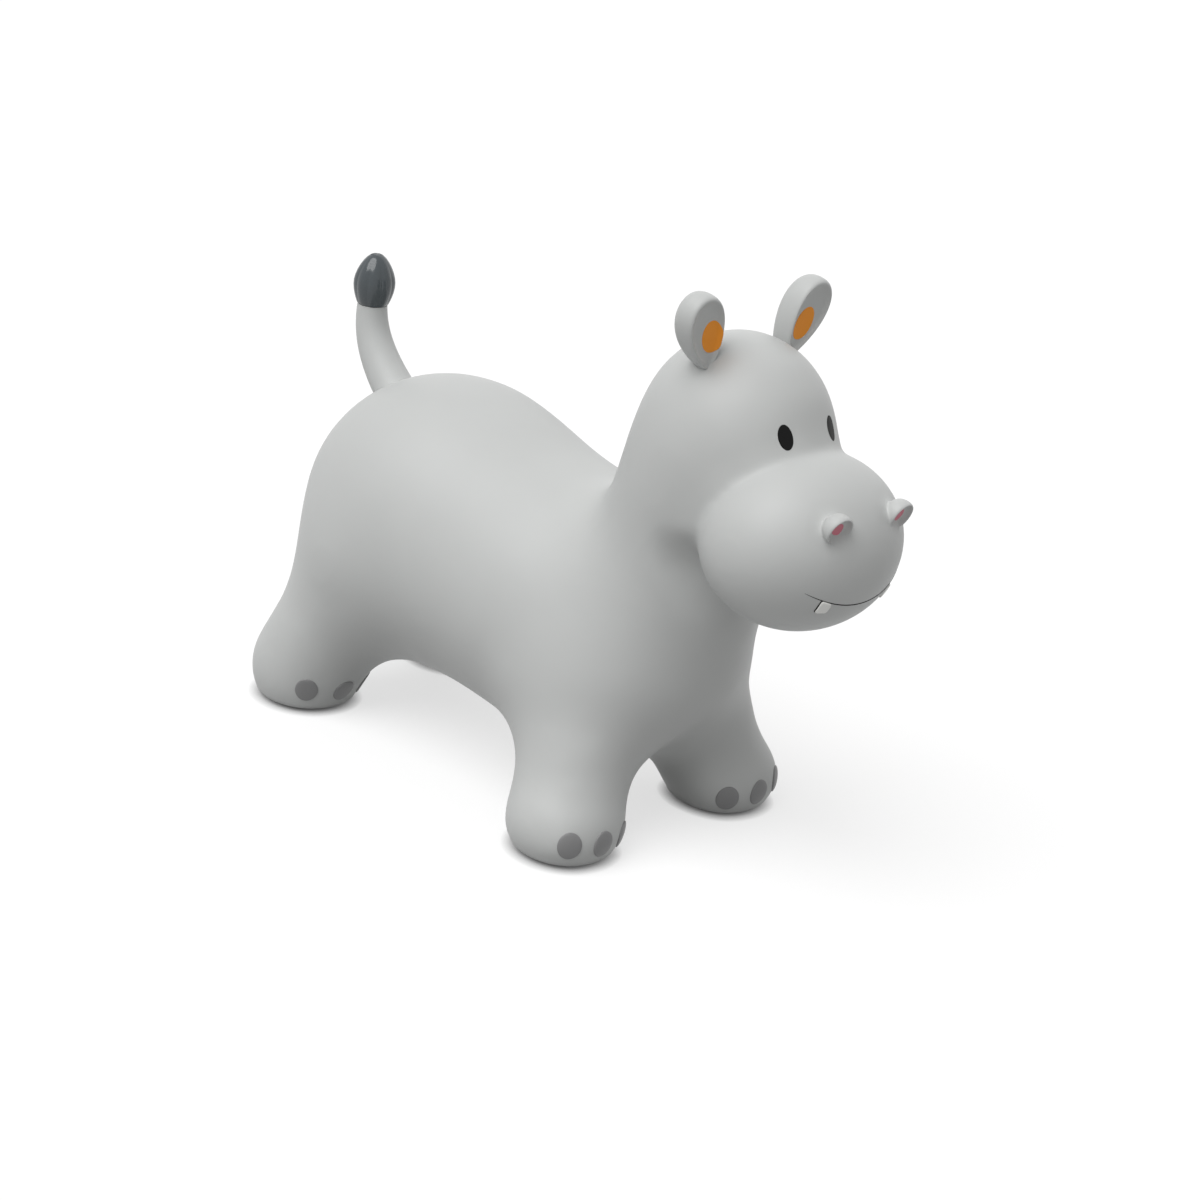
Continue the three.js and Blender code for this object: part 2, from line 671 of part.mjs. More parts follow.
// Smile: a thin painted line across the muzzle, with its ends turned up
function mouth() {
  const steps = 24;
  const section = [[-1, -SINK], [1, -SINK], [1, GAP + FILM], [-1, GAP + FILM]];
  const rings = Array.from({ length: steps + 1 }, (_, n) => {
    const y = MOUTH_WIDE * (n / steps - 0.5);
    const { point, normal } = facing(y, smileZ(y));
    const next = facing(y + MOUTH_LINE, smileZ(y + MOUTH_LINE)).point;
    const across = next.sub(point).cross(normal).normalize();
    return section.map(([s, height]) => {
      return point.clone().addScaledVector(across, (s * MOUTH_LINE) / 2).addScaledVector(normal, height);
    });
  });
  return seated(bodyOf(middleOf(rings[0]), rings, middleOf(rings[steps])));
}

// Tooth: a tab hanging just under the smile, its top cut to the smile's slope
function tooth(side) {
  const y = (side * TOOTH_SPREAD) / 2;
  const z = smileZ(y) - MOUTH_LINE / 2 - 2 * GAP - TOOTH_TALL / 2;
  const w = TOOTH_WIDE / 2;
  const h = TOOTH_TALL / 2;
  const cut = (u) => smileZ(y + u) - smileZ(y) + h;
  const corners = [[-w, cut(-w)], [-w, -h], [w, -h], [w, cut(w)]];
  const outline = corners.flatMap(([u, v], n) => {
    const [nextU, nextV] = corners[(n + 1) % corners.length];
    return [[u, v], [(u + nextU) / 2, (v + nextV) / 2]];
  });
  const profile = [
    [0.5, -SINK],
    [1, -SINK],
    [1, TOOTH_THICK * 0.7],
    [0.85, TOOTH_THICK],
    [0.4, TOOTH_THICK],
  ];
  return seated(raised(skinGround(facing(y, z), UP), outline, profile));
}

// Toenail: a low dome on the front of the foot, counted outward from the middle one
function nail(foot, side, count) {
  const turn = count * NAIL_SPREAD;
  const out = vec(Math.cos(turn), side * Math.sin(turn), 0);
  const centre = vec(foot.x, side * foot.y, NAIL_Z + count * NAIL_STEP);
  const hit = skinHit(centre.addScaledVector(out, 2 * REAR_FOOT_R), out.clone().negate());
  const profile = [
    [0.5, -SINK],
    [1, -SINK],
    [0.95, NAIL_THICK * 0.5],
    [0.7, NAIL_THICK * 0.9],
    [0.3, NAIL_THICK],
  ];
  return seated(raised(skinGround(hit, UP), oval(NAIL_WIDE, NAIL_TALL, NAIL_SIDES), profile));
}

const hopper = new THREE.Group();

function add(name, geometry, material) {
  const mesh = new THREE.Mesh(geometry, material.clone());
  mesh.name = name;
  hopper.add(mesh);
}

add('skin', skin(), GREY_VINYL);
add('air_stopper', stopper(), WHITE_PLASTIC);
add('tail', tail(), GREY_VINYL);
add('tail_tip', tailTip(), SLATE_PAINT);
add('mouth_line', mouth(), BLACK_PAINT);
for (const [hand, side] of [['left', 1], ['right', -1]]) {
  add(`ear_${hand}`, ear(side), GREY_VINYL);
  add(`ear_patch_${hand}`, earPatch(side), ORANGE_PAINT);
  add(`eye_${hand}`, eye(side), BLACK_PAINT);
  add(`nostril_${hand}`, nostril(side), GREY_VINYL);
  add(`nostril_mark_${hand}`, nostrilMark(side), PINK_PAINT);
  add(`tooth_${hand}`, tooth(side), WHITE_PAINT);
  for (const [end, foot] of [['front', frontFoot], ['rear', rearFoot]]) {
    for (const [place, count] of [['inner', -1], ['middle', 0], ['outer', 1]]) {
      add(`toenail_${end}_${hand}_${place}`, nail(foot, side, count), NAIL_PAINT);
    }
  }
}

export default hopper;
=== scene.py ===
import json
from math import copysign, cos, pi, radians, sin, tan

import bpy
from mathutils import Matrix, Vector

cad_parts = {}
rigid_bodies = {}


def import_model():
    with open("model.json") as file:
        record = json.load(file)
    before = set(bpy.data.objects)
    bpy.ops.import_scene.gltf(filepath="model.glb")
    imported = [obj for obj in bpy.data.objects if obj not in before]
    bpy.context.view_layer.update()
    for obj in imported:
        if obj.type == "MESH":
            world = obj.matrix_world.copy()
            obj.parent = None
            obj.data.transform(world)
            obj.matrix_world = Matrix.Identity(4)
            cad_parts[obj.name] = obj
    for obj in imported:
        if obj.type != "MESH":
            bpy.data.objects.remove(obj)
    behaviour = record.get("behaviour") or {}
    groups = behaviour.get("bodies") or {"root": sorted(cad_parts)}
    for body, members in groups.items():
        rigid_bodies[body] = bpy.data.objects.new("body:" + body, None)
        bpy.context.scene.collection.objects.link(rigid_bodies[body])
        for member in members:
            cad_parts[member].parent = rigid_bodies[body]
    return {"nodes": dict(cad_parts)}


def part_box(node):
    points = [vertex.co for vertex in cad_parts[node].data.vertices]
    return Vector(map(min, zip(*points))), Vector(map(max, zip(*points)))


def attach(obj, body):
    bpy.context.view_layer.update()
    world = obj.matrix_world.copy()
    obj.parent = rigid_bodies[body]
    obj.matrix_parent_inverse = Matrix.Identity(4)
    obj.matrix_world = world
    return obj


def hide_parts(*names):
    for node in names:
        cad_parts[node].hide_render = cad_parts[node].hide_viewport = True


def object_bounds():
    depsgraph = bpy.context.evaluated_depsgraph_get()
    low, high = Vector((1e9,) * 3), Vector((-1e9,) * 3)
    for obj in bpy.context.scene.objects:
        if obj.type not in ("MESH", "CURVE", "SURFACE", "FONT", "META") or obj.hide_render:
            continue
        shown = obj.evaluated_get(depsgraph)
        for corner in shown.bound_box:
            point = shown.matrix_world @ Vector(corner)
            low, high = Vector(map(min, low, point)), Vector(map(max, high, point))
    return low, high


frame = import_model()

cad_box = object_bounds()

# Camera: a long lens a little above a child's eye, on the animal's right side toward its face,
# and rolled slightly, because the picture was straightened to the toy and not to the floor.
CAMERA_PLACE = (1.5048, -1.5812, 1.0319)
CAMERA_AZIMUTH = radians(42.98)
CAMERA_ELEVATION = radians(21.74)
CAMERA_ROLL = radians(7.58)
CAMERA_LENS = 84
CAMERA_SENSOR = 36
CAMERA_REACH = 100

scene = bpy.context.scene
camera = bpy.data.objects.new("camera", bpy.data.cameras.new("camera"))
camera.data.lens = CAMERA_LENS
camera.data.sensor_width = CAMERA_SENSOR
camera.data.clip_end = CAMERA_REACH
camera.matrix_world = (
    Matrix.Translation(CAMERA_PLACE)
    @ Matrix.Rotation(CAMERA_AZIMUTH, 4, "Z")
    @ Matrix.Rotation(pi / 2 - CAMERA_ELEVATION, 4, "X")
    @ Matrix.Rotation(CAMERA_ROLL, 4, "Z")
)
scene.collection.objects.link(camera)
scene.camera = camera
scene.view_settings.view_transform = "Standard"

# Vinyl skin: one hollow shell of soft grey vinyl, cast in a turning mould and blown up until taut.
# The muzzle is an egg of the same casting that bulges off a hollow throat, and the feet are turned
# under to flat soles.
SKIN_GREY = (0.535, 0.545, 0.538, 1)
SKIN_LEVELS = 2
SKIN_GRID = 0.0032
SKIN_SOFTNESS = 6
SKIN_FATTEN = 0.0007
SMOOTHING = 0.5
QUAD_ANGLE = radians(50)
WELD = 0.00002
SOLE_BAND = 0.0005
SOLE_NORMAL = -0.99
SOCKET_ROOM = 0.0003
BELLY_PATCH = 4
MUZZLE_PLACE = Vector((0.2325, 0, 0.297))
MUZZLE_RADII = (0.073, 0.085, 0.070)
MUZZLE_LEAN = radians(-7)
MUZZLE_CUTS = 31
MUZZLE_SINK = 0.05
CREASE_NEAR = 1.02
CREASE_FAR = 1.13
THROAT_NARROW = 0.42
THROAT_NEAR = 1.0
THROAT_FAR = 1.58
THROAT_TOP = 0.12
THROAT_LOW = -0.48
FOOT_CUT = 0.008
FOOT_STEPS = (
    (0.0025, 0.975), (0.0022, 0.945), (0.0014, 0.915), (0.0010, 0.90), (0.0006, 0.90), (0.00025, 0.90),
)
TONE_SCALE = 14
SHEEN_SCALE = 55
GRAIN_SCALE = 700
GRAIN_STRENGTH = 0.08
GRAIN_DEEP = 0.0002


def only(piece):
    bpy.ops.object.select_all(action="DESELECT")
    piece.select_set(True)
    bpy.context.view_layer.objects.active = piece


def edit(piece, kind="FACE"):
    """Opens a piece with all of it selected."""
    only(piece)
    bpy.ops.object.mode_set(mode="EDIT")
    bpy.ops.mesh.select_mode(type=kind)
    bpy.ops.mesh.select_all(action="SELECT")


def done():
    bpy.ops.object.mode_set(mode="OBJECT")


def unpick(piece):
    """Makes a piece active with none of its mesh selected."""
    only(piece)
    for part in (piece.data.vertices, piece.data.edges, piece.data.polygons):
        part.foreach_set("select", [False] * len(part))


def pick(piece, wanted):
    """Opens a piece with its wanted faces selected."""
    unpick(piece)
    for face in piece.data.polygons:
        face.select = wanted(face)
    bpy.ops.object.mode_set(mode="EDIT")
    bpy.ops.mesh.select_mode(type="FACE")


def apply(piece, kind, **values):
    """Adds a modifier with these values and applies it."""
    only(piece)
    modifier = piece.modifiers.new(kind.lower(), kind)
    for name, value in values.items():
        setattr(modifier, name, value)
    bpy.ops.object.modifier_apply(modifier=modifier.name)


def round_off(piece, levels):
    apply(piece, "SUBSURF", levels=levels, render_levels=levels)
    only(piece)
    bpy.ops.object.shade_smooth()


def welded_copy(node, name):
    """A loose copy of a CAD node with its own mesh, in which split points are joined again."""
    piece = frame["nodes"][node].copy()
    piece.data = piece.data.copy()
    piece.name = name
    piece.parent = None
    for key in list(piece.keys()):
        del piece[key]
    scene.collection.objects.link(piece)
    piece.data.materials.clear()
    edit(piece)
    bpy.ops.mesh.remove_doubles(threshold=WELD)
    bpy.ops.mesh.customdata_custom_splitnormals_clear()
    done()
    return piece


def eased(start, stop, value):
    """Rises smoothly from 0 to 1 as a value goes from start to stop."""
    share = min(max((value - start) / (stop - start), 0), 1)
    return share * share * (3 - 2 * share)


stopper_low, stopper_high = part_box("air_stopper")
stopper_middle = (stopper_low + stopper_high) / 2
flange_r = (stopper_high.x - stopper_low.x) / 2


def round_stopper(face, reach):
    """True for a face of the belly within reach of the stopper's axis."""
    out = Vector((face.center.x - stopper_middle.x, face.center.y))
    return out.length < reach and face.center.z < stopper_high.z


skin = welded_copy("skin", "vinyl_skin")
pick(skin, lambda face: round_stopper(face, flange_r + 2 * SOCKET_ROOM))
bpy.ops.mesh.delete(type="FACE")
done()
nose = max(skin.data.polygons, key=lambda face: face.center.x).index
pick(skin, lambda face: face.index == nose)
bpy.ops.mesh.select_linked()
bpy.ops.mesh.select_all(action="INVERT")
bpy.ops.mesh.delete(type="VERT")
done()
pick(skin, lambda face: round_stopper(face, BELLY_PATCH * flange_r))
bpy.ops.mesh.fill_holes(sides=0)
done()
pick(skin, lambda face: face.center.z < SOLE_BAND and face.normal.z < SOLE_NORMAL)
bpy.ops.mesh.delete(type="FACE")
done()
edit(skin)
bpy.ops.mesh.tris_convert_to_quads(face_threshold=QUAD_ANGLE, shape_threshold=QUAD_ANGLE)
done()
round_off(skin, SKIN_LEVELS)
edit(skin)
bpy.ops.mesh.fill_holes(sides=0)
done()

muzzle_frame = (
    Matrix.Translation(MUZZLE_PLACE)
    @ Matrix.Rotation(MUZZLE_LEAN, 4, "Y")
    @ Matrix.Diagonal((*MUZZLE_RADII, 1))
)
to_muzzle = muzzle_frame.inverted()
for vertex in skin.data.vertices:
    in_egg = to_muzzle @ vertex.co
    sink = MUZZLE_SINK * eased(CREASE_FAR, CREASE_NEAR, in_egg.length)
    beside = eased(THROAT_FAR, THROAT_NEAR, in_egg.length)
    below = eased(THROAT_TOP, THROAT_LOW, in_egg.z)
    vertex.co = vertex.co.lerp(MUZZLE_PLACE, sink)
    vertex.co.y *= 1 - THROAT_NARROW * beside * below
bpy.ops.object.select_all(action="DESELECT")
bpy.ops.mesh.primitive_cube_add(size=2)
muzzle = bpy.context.object
edit(muzzle)
bpy.ops.mesh.subdivide(number_cuts=MUZZLE_CUTS)
done()
for vertex in muzzle.data.vertices:
    vertex.co.normalize()
muzzle.data.transform(muzzle_frame)
only(skin)
muzzle.select_set(True)
bpy.ops.object.join()
apply(skin, "REMESH", mode="VOXEL", voxel_size=SKIN_GRID, use_smooth_shade=True)

edit(skin, "EDGE")
bpy.ops.mesh.vertices_smooth(factor=SMOOTHING, repeat=SKIN_SOFTNESS)
bpy.ops.transform.shrink_fatten(value=SKIN_FATTEN)
bpy.ops.mesh.bisect(plane_co=(0, 0, FOOT_CUT), plane_no=(0, 0, 1), clear_inner=True, threshold=WELD)
for drop, share in FOOT_STEPS:
    bpy.ops.mesh.extrude_region_move(TRANSFORM_OT_translate={"value": (0, 0, -drop)})
    done()
    rim = [vertex for vertex in skin.data.vertices if vertex.select]
    for front in (True, False):
        for left in (True, False):
            foot = [v for v in rim if (v.co.x > 0) == front and (v.co.y > 0) == left]
            centre = sum((v.co for v in foot), Vector()) / len(foot)
            for vertex in foot:
                vertex.co = centre.lerp(vertex.co, share)
    bpy.ops.object.mode_set(mode="EDIT")
bpy.ops.mesh.select_all(action="SELECT")
bpy.ops.mesh.fill_holes(sides=0)
bpy.ops.mesh.select_all(action="SELECT")
bpy.ops.mesh.normals_make_consistent(inside=False)
done()


def cast_surface():
    """Uneven tone, sheen and grain of a moulded and sprayed surface."""
    group = bpy.data.node_groups.new("cast_surface", "ShaderNodeTree")
    for name, way, kind in (
        ("Colour", "INPUT", "NodeSocketColor"),
        ("Tone", "INPUT", "NodeSocketFloat"),
        ("Sheen", "INPUT", "NodeSocketFloat"),
        ("Sheen spread", "INPUT", "NodeSocketFloat"),
        ("Colour", "OUTPUT", "NodeSocketColor"),
        ("Roughness", "OUTPUT", "NodeSocketFloat"),
        ("Height", "OUTPUT", "NodeSocketFloat"),
    ):
        group.interface.new_socket(name, in_out=way, socket_type=kind)
    nodes = group.nodes
    links = group.links
    given = nodes.new("NodeGroupInput").outputs
    made = nodes.new("NodeGroupOutput").inputs
    place = nodes.new("ShaderNodeTexCoord").outputs["Object"]

    def noise(scale, detail):
        node = nodes.new("ShaderNodeTexNoise")
        node.inputs["Scale"].default_value = scale
        node.inputs["Detail"].default_value = detail
        links.new(place, node.inputs["Vector"])
        return node.outputs["Fac"]

    def varied(value, middle, reach):
        """A noise turned into middle plus or minus reach, where middle is a socket or a number."""
        centred = nodes.new("ShaderNodeMath")
        centred.operation = "MULTIPLY_ADD"
        centred.inputs[1].default_value = 2
        centred.inputs[2].default_value = -1
        links.new(value, centred.inputs[0])
        scaled = nodes.new("ShaderNodeMath")
        scaled.operation = "MULTIPLY_ADD"
        links.new(centred.outputs[0], scaled.inputs[0])
        links.new(reach, scaled.inputs[1])
        if isinstance(middle, (int, float)):
            scaled.inputs[2].default_value = middle
        else:
            links.new(middle, scaled.inputs[2])
        return scaled.outputs[0]

    tone = nodes.new("ShaderNodeHueSaturation")
    links.new(given["Colour"], tone.inputs["Color"])
    links.new(varied(noise(TONE_SCALE, detail=4), 1, given["Tone"]), tone.inputs["Value"])
    links.new(tone.outputs["Color"], made["Colour"])
    sheen = varied(noise(SHEEN_SCALE, detail=3), given["Sheen"], given["Sheen spread"])
    links.new(sheen, made["Roughness"])
    links.new(noise(GRAIN_SCALE, detail=2), made["Height"])
    return group


CAST_SURFACE = cast_surface()


def finish(name, colour, roughness, tone=0.04, spread=0.05, gloss=0.5):
    """Material of one moulded or sprayed finish."""
    material = bpy.data.materials.new(name)
    material.use_nodes = True
    nodes = material.node_tree.nodes
    links = material.node_tree.links
    shader = nodes["Principled BSDF"]
    shader.inputs["Specular IOR Level"].default_value = gloss
    surface = nodes.new("ShaderNodeGroup")
    surface.node_tree = CAST_SURFACE
    surface.inputs["Colour"].default_value = colour
    surface.inputs["Tone"].default_value = tone
    surface.inputs["Sheen"].default_value = roughness
    surface.inputs["Sheen spread"].default_value = spread
    relief = nodes.new("ShaderNodeBump")
    relief.inputs["Strength"].default_value = GRAIN_STRENGTH
    relief.inputs["Distance"].default_value = GRAIN_DEEP
    links.new(surface.outputs["Colour"], shader.inputs["Base Color"])
    links.new(surface.outputs["Roughness"], shader.inputs["Roughness"])
    links.new(surface.outputs["Height"], relief.inputs["Height"])
    links.new(relief.outputs["Normal"], shader.inputs["Normal"])
    return material


grey_vinyl = finish("grey_vinyl", SKIN_GREY, roughness=0.48, gloss=0.35)

# Nostrils: two hoods of the same casting on the muzzle, each open to the front and a little
# downward, with a deep dished opening. The skin gets its finish once they are joined to it.
NOSTRIL_R = 0.0125
NOSTRIL_OPENING = 0.0035
NOSTRIL_DISH = 0.0042
NOSTRIL_FORWARD = 0.0006
NOSTRIL_PITCH = radians(-20)
NOSTRIL_TURN = radians(4)
NOSTRIL_SIDES = 48
HOOD_TURNS = range(15, 100, 12)
HOOD_LIP = 0.75
HOOD_DISH_STEPS = ((0.96, 0), (0.90, 0.06), (0.83, 0.35), (0.72, 0.8), (0.50, 1), (0.15, 1))
HOOD_RINGS = 3
HOOD_SOFTNESS = 14
HOOD_MERGE = 0.0002
FLAT_ANGLE = radians(30)
HANDS = (("left", 1), ("right", -1))
UP = Vector((0, 0, 1))
AHEAD = Vector((1, 0, 0))


def blend_in(piece, form, rings, softness, merge):
    """Joins a form to a piece, and softens the line where they meet over some rings of points."""
    for mesh in (piece.data, form.data):
        while len(mesh.materials) < 2:
            mesh.materials.append(None)
    form.data.polygons.foreach_set("material_index", [1] * len(form.data.polygons))
    apply(piece, "BOOLEAN", operation="UNION", object=form, solver="EXACT")
    bpy.data.objects.remove(form)
    marks = {}
    for face in piece.data.polygons:
        for corner in face.vertices:
            marks.setdefault(corner, set()).add(face.material_index)
    piece.data.polygons.foreach_set("material_index", [0] * len(piece.data.polygons))
    unpick(piece)
    for corner, sides in marks.items():
        piece.data.vertices[corner].select = len(sides) > 1
    bpy.ops.object.mode_set(mode="EDIT")
    bpy.ops.mesh.select_mode(type="VERT")
    for _ in range(rings):
        bpy.ops.mesh.select_more()
    bpy.ops.mesh.remove_doubles(threshold=merge)
    bpy.ops.mesh.quads_convert_to_tris()
    bpy.ops.mesh.beautify_fill(angle_limit=FLAT_ANGLE)
    bpy.ops.mesh.vertices_smooth(factor=SMOOTHING, repeat=softness)
    done()


def stacked(name, outline, profile):
    """A closed body: an outline shrunk and raised ring by ring through (share, height) steps."""
    bpy.ops.object.select_all(action="DESELECT")
    bpy.ops.mesh.primitive_circle_add(vertices=len(outline), radius=1)
    piece = bpy.context.object
    piece.name = name
    share, height = profile[0]
    for vertex, (x, y) in zip(piece.data.vertices, outline):
        vertex.co = (x * share, y * share, height)
    edit(piece, "EDGE")
    for next_share, next_height in profile[1:]:
        rise = (0, 0, next_height - height)
        bpy.ops.mesh.extrude_region_move(TRANSFORM_OT_translate={"value": rise})
        ratio = next_share / share
        bpy.ops.transform.resize(value=(ratio, ratio, 1), center_override=(0, 0, 0))
        share, height = next_share, next_height
    bpy.ops.mesh.select_all(action="SELECT")
    bpy.ops.mesh.fill_holes(sides=0)
    bpy.ops.mesh.select_all(action="SELECT")
    bpy.ops.mesh.normals_make_consistent(inside=False)
    done()
    only(piece)
    bpy.ops.object.shade_smooth()
    return piece


def copy_of(piece, name):
    twin = piece.copy()
    twin.data = piece.data.copy()
    twin.name = name
    scene.collection.objects.link(twin)
    return twin


def turns(sides):
    return [2 * pi * n / sides for n in range(sides)]


def circle(sides):
    return [(cos(turn), sin(turn)) for turn in turns(sides)]


def stood(place, along, facing):
    """Frame at a place with Y along a line and Z the way the piece faces."""
    across = along.cross(facing).normalized()
    along = facing.cross(across)
    return Matrix.Translation(place) @ Matrix((across, along, facing)).transposed().to_4x4()


def middle_of(node):
    low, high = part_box(node)
    return (low + high) / 2


def dress(piece, material, slot, body, *nodes):
    """Gives a piece its material, and puts it on its body in place of its solids. The slot is not
    used.
    """
    piece.data.materials.clear()
    piece.data.materials.append(material)
    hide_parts(*nodes)
    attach(piece, body)


lip = (1 - (NOSTRIL_OPENING / NOSTRIL_R) ** 2) ** 0.5 * NOSTRIL_R
hood_form = stacked("hood_form", circle(NOSTRIL_SIDES), [
    *((NOSTRIL_R * sin(radians(turn)), -NOSTRIL_R * cos(radians(turn))) for turn in HOOD_TURNS),
    (lip, NOSTRIL_OPENING * HOOD_LIP),
    *((lip * share, NOSTRIL_OPENING - NOSTRIL_DISH * deep) for share, deep in HOOD_DISH_STEPS),
])
round_off(hood_form, 1)
openings = {}
for hand, side in HANDS:
    facing = Vector((1, side * tan(NOSTRIL_TURN), tan(NOSTRIL_PITCH))).normalized()
    mark = middle_of(f"nostril_mark_{hand}")
    openings[hand] = stood(mark + facing * NOSTRIL_FORWARD, UP, facing)
    hood = copy_of(hood_form, f"hood_{hand}")
    hood.data.transform(openings[hand])
    blend_in(skin, hood, HOOD_RINGS, HOOD_SOFTNESS, HOOD_MERGE)
bpy.data.objects.remove(hood_form)
dress(skin, grey_vinyl, "grey_vinyl", "hippo", "skin", "nostril_left", "nostril_right")

# Air stopper: a white plastic plug with a flange, pushed into the belly after blowing up. Its
# shank is ribbed so that the vinyl grips it, and narrows at the end to find the hole.
STOPPER_WHITE = (0.82, 0.82, 0.79, 1)
STOPPER_R = 0.0046
STOPPER_RIB = 0.0005
STOPPER_RIB_PITCH = 0.006
STOPPER_RIBS = 3
FLANGE_THICK = 0.0024
FLANGE_EDGE = 0.0008
STOPPER_TIP = ((0.95, FLANGE_EDGE), (0.75, 0))
STOPPER_SIDES = 48
SOCKET_BELOW = 0.02
RIB_ANGLE = radians(40)
SHARP_ANGLE = radians(50)

flange_top = stopper_low.z + FLANGE_THICK
neck_r = STOPPER_R - STOPPER_RIB
profile = [
    (flange_r - 2 * FLANGE_EDGE, stopper_low.z),
    (flange_r - FLANGE_EDGE / 3, stopper_low.z + FLANGE_EDGE / 3),
    (flange_r, stopper_low.z + FLANGE_EDGE),
    (flange_r, flange_top - FLANGE_EDGE / 3),
    (flange_r - FLANGE_EDGE / 3, flange_top),
    (neck_r, flange_top),
]
for rib in range(STOPPER_RIBS):
    start = flange_top + STOPPER_RIB_PITCH * (rib + 0.5)
    profile.append((neck_r, start))
    profile.append((STOPPER_R, start + STOPPER_RIB_PITCH / 4))
    profile.append((STOPPER_R, start + STOPPER_RIB_PITCH / 3))
    profile.append((neck_r, start + STOPPER_RIB_PITCH / 2))
profile += [(neck_r * share, stopper_high.z - below) for share, below in STOPPER_TIP]
stopper = stacked("stopper_plug", circle(STOPPER_SIDES), profile)
stopper.data.transform(Matrix.Translation((stopper_middle.x, 0, 0)))
only(stopper)
bpy.ops.object.shade_smooth_by_angle(angle=RIB_ANGLE)
white_plastic = finish("white_plastic", STOPPER_WHITE, roughness=0.38, tone=0.02)
dress(stopper, white_plastic, "white_plastic", "stopper", "air_stopper")

socket = stacked("socket", circle(STOPPER_SIDES), [
    (flange_r + SOCKET_ROOM, stopper_low.z - SOCKET_BELOW),
    (flange_r + SOCKET_ROOM, flange_top + SOCKET_ROOM),
    (STOPPER_R + SOCKET_ROOM, flange_top + SOCKET_ROOM),
    (STOPPER_R + SOCKET_ROOM, stopper_high.z + SOCKET_ROOM),
])
socket.data.transform(Matrix.Translation((stopper_middle.x, 0, 0)))
apply(skin, "BOOLEAN", operation="DIFFERENCE", object=socket, solver="EXACT")
bpy.data.objects.remove(socket)
only(skin)
bpy.ops.object.shade_smooth_by_angle(angle=SHARP_ANGLE)

# Ears: two thick petals of the same vinyl, moulded on the crown, with a rounded back and a rim
# round a shallow dish in front. A sprayed orange oval lies low in the dish.
EAR_X = 0.1525
EAR_SPREAD = 0.094
EAR_LONG = 0.0618
EAR_ROOT = 0.008
EAR_HALF = 0.0190
EAR_POINT = 0.8
EAR_LEAN = radians(21)
EAR_NOD = radians(7)
EAR_TURN = radians(2)
EAR_SIDES = 36
EAR_LEVELS = 2
EAR_STEPS = (
    (0.20, -0.0202), (0.50, -0.0199), (0.76, -0.0184), (0.92, -0.0149), (0.99, -0.0094), (1, -0.0038),
    (0.99, 0.0008), (0.955, 0.0032), (0.905, 0.0042), (0.85, 0.0037), (0.78, 0.0022), (0.64, 0.0014),
    (0.36, 0.0011), (0.12, 0.001),
)
PATCH_ORANGE = (0.95, 0.34, 0.035, 1)
PATCH_WIDE = 0.020
PATCH_LONG = 0.028
PATCH_DROP = 0.0075
PATCH_INWARD = {"left": 0.0005, "right": 0.0052}
PAINT_THICK = 0.0003
LENS_SIDES = 40
LENS_RINGS = 24
CAST_REACH = 0.03


def lens(name, wide, tall, rise, flatness=2):
    """A low oval about Z with a round edge; a higher flatness makes its top flatter."""
    bpy.ops.object.select_all(action="DESELECT")
    bpy.ops.mesh.primitive_uv_sphere_add(segments=LENS_SIDES, ring_count=LENS_RINGS, radius=1)
    piece = bpy.context.object
    piece.name = name
    for vertex in piece.data.vertices:
        x, y, z = vertex.co
        out = min(Vector((x, y)).length, 1)
        height = (1 - out ** (2 * flatness)) ** (1 / (2 * flatness))
        vertex.co = (x * wide / 2, y * tall / 2, rise * height * (1 if z > 0 else -1))
    only(piece)
    bpy.ops.object.shade_smooth()
    return piece


def lay_on(piece, ground, frame_at):
    """Bends a flat piece onto the ground that it meets when it is pressed down at a frame."""
    facing = frame_at.col[2].to_3d()
    for vertex in piece.data.vertices:
        flat = frame_at @ Vector((vertex.co.x, vertex.co.y, CAST_REACH))
        met, point, normal, _ = ground.ray_cast(flat, -facing)
        if not met:
            raise ValueError(f"{piece.name} reaches past {ground.name}")
        vertex.co = point + normal * vertex.co.z


def petal(turn):
    """Half the width of a petal, round its outline from one end."""
    return sin(turn) * abs(sin(turn / 2)) ** EAR_POINT


widest = max(petal(turn) for turn in turns(EAR_SIDES))
ear_long = EAR_LONG + EAR_ROOT
ear_outline = [
    (EAR_HALF * petal(turn) / widest, -ear_long / 2 * cos(turn)) for turn in turns(EAR_SIDES)
]
orange_paint = finish("orange_paint", PATCH_ORANGE, roughness=0.5, tone=0.06, gloss=0.2)
ear_form = stacked("ear_form", ear_outline, EAR_STEPS)
round_off(ear_form, EAR_LEVELS)
patch_form = lens("patch_form", PATCH_WIDE, PATCH_LONG, PAINT_THICK, flatness=3)
for hand, side in HANDS:
    above = Vector((EAR_X, side * EAR_SPREAD / 2, cad_box[1].z + CAST_REACH))
    _, root, _, _ = skin.ray_cast(above, -UP)
    along = Vector((tan(EAR_NOD), side * tan(EAR_LEAN), 1)).normalized()
    facing = Vector((cos(EAR_TURN), side * sin(EAR_TURN), 0))
    facing = (facing - along * facing.dot(along)).normalized()
    ear = copy_of(ear_form, f"vinyl_ear_{hand}")
    ear.data.transform(stood(root + along * (EAR_LONG - EAR_ROOT) / 2, along, facing))
    dress(ear, grey_vinyl, "grey_vinyl", "hippo", f"ear_{hand}")

    patch = copy_of(patch_form, f"orange_patch_{hand}")
    inward = along.cross(facing).normalized() * -side * PATCH_INWARD[hand]
    lay_on(patch, ear, stood(root + along * (EAR_LONG / 2 - PATCH_DROP) + inward, along, facing))
    dress(patch, orange_paint, "orange_paint", "hippo", f"ear_patch_{hand}")
bpy.data.objects.remove(ear_form)
bpy.data.objects.remove(patch_form)

